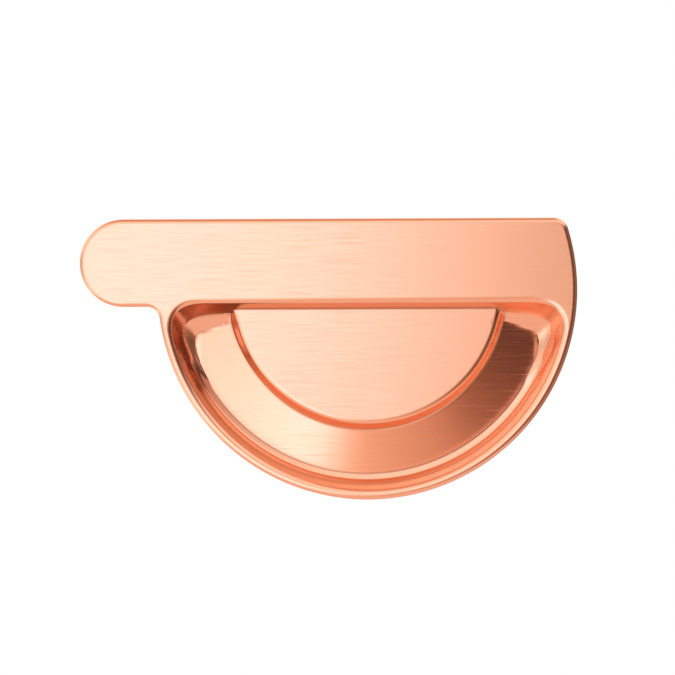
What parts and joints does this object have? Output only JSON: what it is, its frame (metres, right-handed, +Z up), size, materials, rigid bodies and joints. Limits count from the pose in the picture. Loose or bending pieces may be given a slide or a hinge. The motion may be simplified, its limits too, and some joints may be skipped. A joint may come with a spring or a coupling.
{
  "type": "gutter end cap",
  "caption": "Right-hand end cap for a half-round gutter: pressed copper bar with a round bead cover, a dished half-round plug with a raised half disc, and a flange all round.",
  "frame": {"origin": "axis of the half-round gutter, on the plane inside the bar that stops the gutter's edge", "axes": "+X along the bar towards the back of the gutter, away from the bead; +Y into the gutter; +Z up"},
  "size_m": [0.0981, 0.01, 0.0555],
  "materials": {
    "copper": "bright rolled copper sheet, lightly brushed along its length"
  },
  "bodies": {
    "root": {"end_cap": "copper"}
  },
  "joints": []
}
